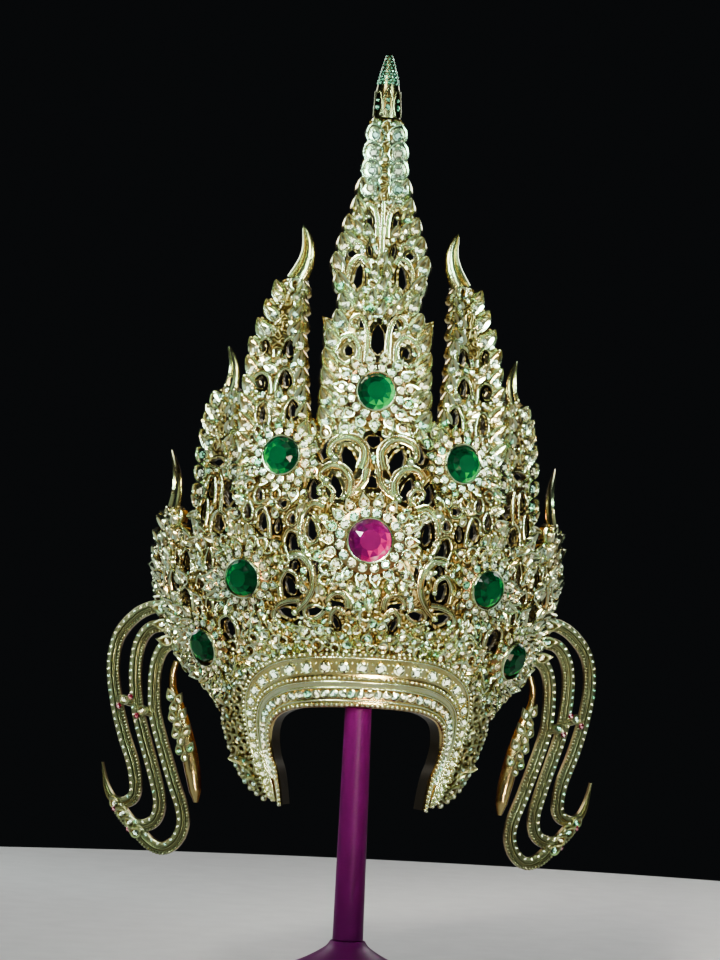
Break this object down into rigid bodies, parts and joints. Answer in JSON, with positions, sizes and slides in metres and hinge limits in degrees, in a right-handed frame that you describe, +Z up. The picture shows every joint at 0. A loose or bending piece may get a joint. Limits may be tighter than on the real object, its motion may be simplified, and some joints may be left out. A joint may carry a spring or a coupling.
{
  "type": "thai headdress on a post stand",
  "caption": "Tall pierced gilt crown of flame spires set with green and pink stones, with a brow arch, lappets and ear flares, on a plain magenta post stand.",
  "frame": {"origin": "middle of the stand's flat underside, on the post's axis", "axes": "+Z up along the post towards the centre finial, -Y towards the front of the crown, +X to the viewer's right"},
  "size_m": [0.3084, 0.208, 0.5783],
  "materials": {
    "gilt": "cast, gilded and lightly worn",
    "crystal": "faceted, foil backed",
    "green_stone": "faceted, polished",
    "pink_stone": "faceted, polished",
    "stand": "smooth, satin"
  },
  "bodies": {
    "root": {"stand_base": "stand", "stand_post": "stand", "stand_rest": "stand", "face_frame": "gilt", "petal_centre": "gilt", "petal_inner_left": "gilt", "petal_inner_right": "gilt", "petal_outer_left": "gilt", "petal_outer_right": "gilt", "petal_end_left": "gilt", "petal_end_right": "gilt", "tip_centre": "gilt", "tip_inner_left": "gilt", "tip_inner_right": "gilt", "tip_outer_left": "gilt", "tip_outer_right": "gilt", "tip_end_left": "gilt", "tip_end_right": "gilt", "brow_stones": "crystal", "setting_brow": "gilt", "setting_top": "gilt", "setting_inner_left": "gilt", "setting_inner_right": "gilt", "setting_outer_left": "gilt", "setting_outer_right": "gilt", "setting_ear_left": "gilt", "setting_ear_right": "gilt", "stone_brow": "pink_stone", "stone_top": "green_stone", "stone_inner_left": "green_stone", "stone_inner_right": "green_stone", "stone_outer_left": "green_stone", "stone_outer_right": "green_stone", "stone_ear_left": "green_stone", "stone_ear_right": "green_stone", "ear_flare_left": "gilt", "ear_flare_right": "gilt", "ear_flame_left": "gilt", "ear_flame_right": "gilt"}
  },
  "joints": []
}
